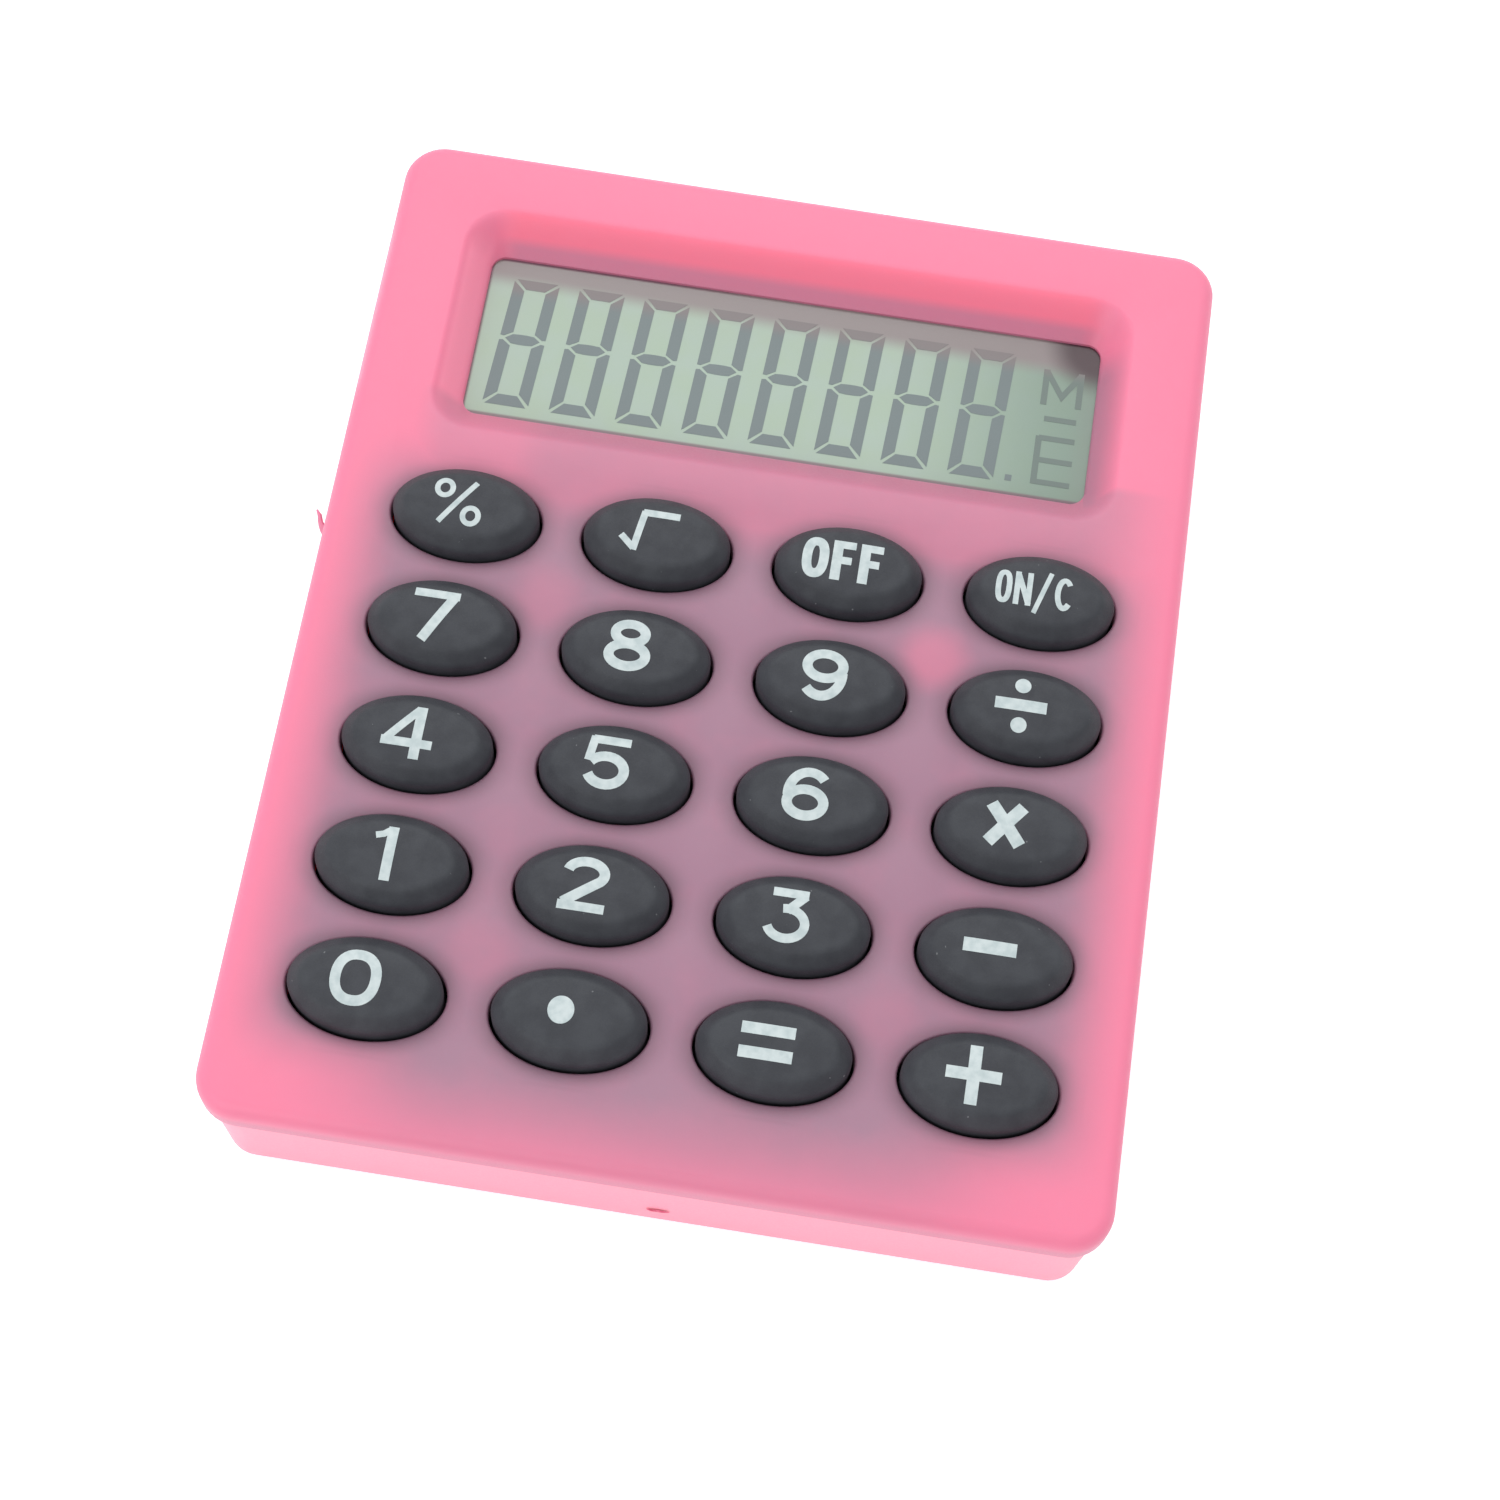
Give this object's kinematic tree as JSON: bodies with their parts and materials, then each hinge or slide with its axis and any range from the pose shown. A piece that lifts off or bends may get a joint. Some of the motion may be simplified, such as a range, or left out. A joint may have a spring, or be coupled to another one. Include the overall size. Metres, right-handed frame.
{
  "type": "pocket calculator",
  "caption": "Small pocket calculator: frosted pink split case, sprung elliptical rubber keys, recessed liquid crystal display, button cell behind a screwed rear door.",
  "frame": {"origin": "centre of the flat rear face, which the calculator rests on", "axes": "+X to the user's right, +Y along the long side towards the display, +Z out of the keypad face"},
  "size_m": [0.045, 0.056, 0.0115],
  "materials": {
    "case_plastic": "frosted translucent pink",
    "key_rubber": "matte charcoal silicone with pale printed legends",
    "carbon_rubber": "matte black conductive rubber",
    "board_laminate": "tan phenolic laminate",
    "contact_metal": "plated",
    "chip_resin": "black epoxy",
    "polariser_film": "clear film over grey-green",
    "display_glass": "polished",
    "reflector_film": "satin silver-green",
    "cell_steel": "polished",
    "screw_steel": "zinc plated"
  },
  "bodies": {
    "case": {"front_shell": "case_plastic", "rear_shell": "case_plastic", "battery_door": "case_plastic", "keypad_mat": "key_rubber", "circuit_board": "board_laminate", "contact_pads": "contact_metal", "chip_blob": "chip_resin", "chip_capacitor": "chip_resin", "lcd_front_polariser": "polariser_film", "lcd_front_glass": "display_glass", "lcd_rear_glass": "display_glass", "lcd_reflector": "reflector_film", "zebra_strip": "carbon_rubber", "button_cell": "cell_steel", "cell_contact_positive": "contact_metal", "cell_contact_negative": "contact_metal", "case_screws": "screw_steel", "board_screws": "screw_steel", "battery_door_screw": "screw_steel"},
    "press_percent": {"key_percent": "key_rubber", "carbon_pill_percent": "carbon_rubber"},
    "press_root": {"key_root": "key_rubber", "carbon_pill_root": "carbon_rubber"},
    "press_off": {"key_off": "key_rubber", "carbon_pill_off": "carbon_rubber"},
    "press_on_clear": {"key_on_clear": "key_rubber", "carbon_pill_on_clear": "carbon_rubber"},
    "press_7": {"key_7": "key_rubber", "carbon_pill_7": "carbon_rubber"},
    "press_8": {"key_8": "key_rubber", "carbon_pill_8": "carbon_rubber"},
    "press_9": {"key_9": "key_rubber", "carbon_pill_9": "carbon_rubber"},
    "press_divide": {"key_divide": "key_rubber", "carbon_pill_divide": "carbon_rubber"},
    "press_4": {"key_4": "key_rubber", "carbon_pill_4": "carbon_rubber"},
    "press_5": {"key_5": "key_rubber", "carbon_pill_5": "carbon_rubber"},
    "press_6": {"key_6": "key_rubber", "carbon_pill_6": "carbon_rubber"},
    "press_multiply": {"key_multiply": "key_rubber", "carbon_pill_multiply": "carbon_rubber"},
    "press_1": {"key_1": "key_rubber", "carbon_pill_1": "carbon_rubber"},
    "press_2": {"key_2": "key_rubber", "carbon_pill_2": "carbon_rubber"},
    "press_3": {"key_3": "key_rubber", "carbon_pill_3": "carbon_rubber"},
    "press_minus": {"key_minus": "key_rubber", "carbon_pill_minus": "carbon_rubber"},
    "press_0": {"key_0": "key_rubber", "carbon_pill_0": "carbon_rubber"},
    "press_point": {"key_point": "key_rubber", "carbon_pill_point": "carbon_rubber"},
    "press_equals": {"key_equals": "key_rubber", "carbon_pill_equals": "carbon_rubber"},
    "press_plus": {"key_plus": "key_rubber", "carbon_pill_plus": "carbon_rubber"}
  },
  "joints": [
    {"name": "press_percent", "type": "slide", "parent": "case", "child": "press_percent", "axis": [0, 0, -1], "range_m": [0, 0.00065], "stiffness_N_per_m": 400},
    {"name": "press_root", "type": "slide", "parent": "case", "child": "press_root", "axis": [0, 0, -1], "range_m": [0, 0.00065], "stiffness_N_per_m": 400},
    {"name": "press_off", "type": "slide", "parent": "case", "child": "press_off", "axis": [0, 0, -1], "range_m": [0, 0.00065], "stiffness_N_per_m": 400},
    {"name": "press_on_clear", "type": "slide", "parent": "case", "child": "press_on_clear", "axis": [0, 0, -1], "range_m": [0, 0.00065], "stiffness_N_per_m": 400},
    {"name": "press_7", "type": "slide", "parent": "case", "child": "press_7", "axis": [0, 0, -1], "range_m": [0, 0.00065], "stiffness_N_per_m": 400},
    {"name": "press_8", "type": "slide", "parent": "case", "child": "press_8", "axis": [0, 0, -1], "range_m": [0, 0.00065], "stiffness_N_per_m": 400},
    {"name": "press_9", "type": "slide", "parent": "case", "child": "press_9", "axis": [0, 0, -1], "range_m": [0, 0.00065], "stiffness_N_per_m": 400},
    {"name": "press_divide", "type": "slide", "parent": "case", "child": "press_divide", "axis": [0, 0, -1], "range_m": [0, 0.00065], "stiffness_N_per_m": 400},
    {"name": "press_4", "type": "slide", "parent": "case", "child": "press_4", "axis": [0, 0, -1], "range_m": [0, 0.00065], "stiffness_N_per_m": 400},
    {"name": "press_5", "type": "slide", "parent": "case", "child": "press_5", "axis": [0, 0, -1], "range_m": [0, 0.00065], "stiffness_N_per_m": 400},
    {"name": "press_6", "type": "slide", "parent": "case", "child": "press_6", "axis": [0, 0, -1], "range_m": [0, 0.00065], "stiffness_N_per_m": 400},
    {"name": "press_multiply", "type": "slide", "parent": "case", "child": "press_multiply", "axis": [0, 0, -1], "range_m": [0, 0.00065], "stiffness_N_per_m": 400},
    {"name": "press_1", "type": "slide", "parent": "case", "child": "press_1", "axis": [0, 0, -1], "range_m": [0, 0.00065], "stiffness_N_per_m": 400},
    {"name": "press_2", "type": "slide", "parent": "case", "child": "press_2", "axis": [0, 0, -1], "range_m": [0, 0.00065], "stiffness_N_per_m": 400},
    {"name": "press_3", "type": "slide", "parent": "case", "child": "press_3", "axis": [0, 0, -1], "range_m": [0, 0.00065], "stiffness_N_per_m": 400},
    {"name": "press_minus", "type": "slide", "parent": "case", "child": "press_minus", "axis": [0, 0, -1], "range_m": [0, 0.00065], "stiffness_N_per_m": 400},
    {"name": "press_0", "type": "slide", "parent": "case", "child": "press_0", "axis": [0, 0, -1], "range_m": [0, 0.00065], "stiffness_N_per_m": 400},
    {"name": "press_point", "type": "slide", "parent": "case", "child": "press_point", "axis": [0, 0, -1], "range_m": [0, 0.00065], "stiffness_N_per_m": 400},
    {"name": "press_equals", "type": "slide", "parent": "case", "child": "press_equals", "axis": [0, 0, -1], "range_m": [0, 0.00065], "stiffness_N_per_m": 400},
    {"name": "press_plus", "type": "slide", "parent": "case", "child": "press_plus", "axis": [0, 0, -1], "range_m": [0, 0.00065], "stiffness_N_per_m": 400}
  ]
}
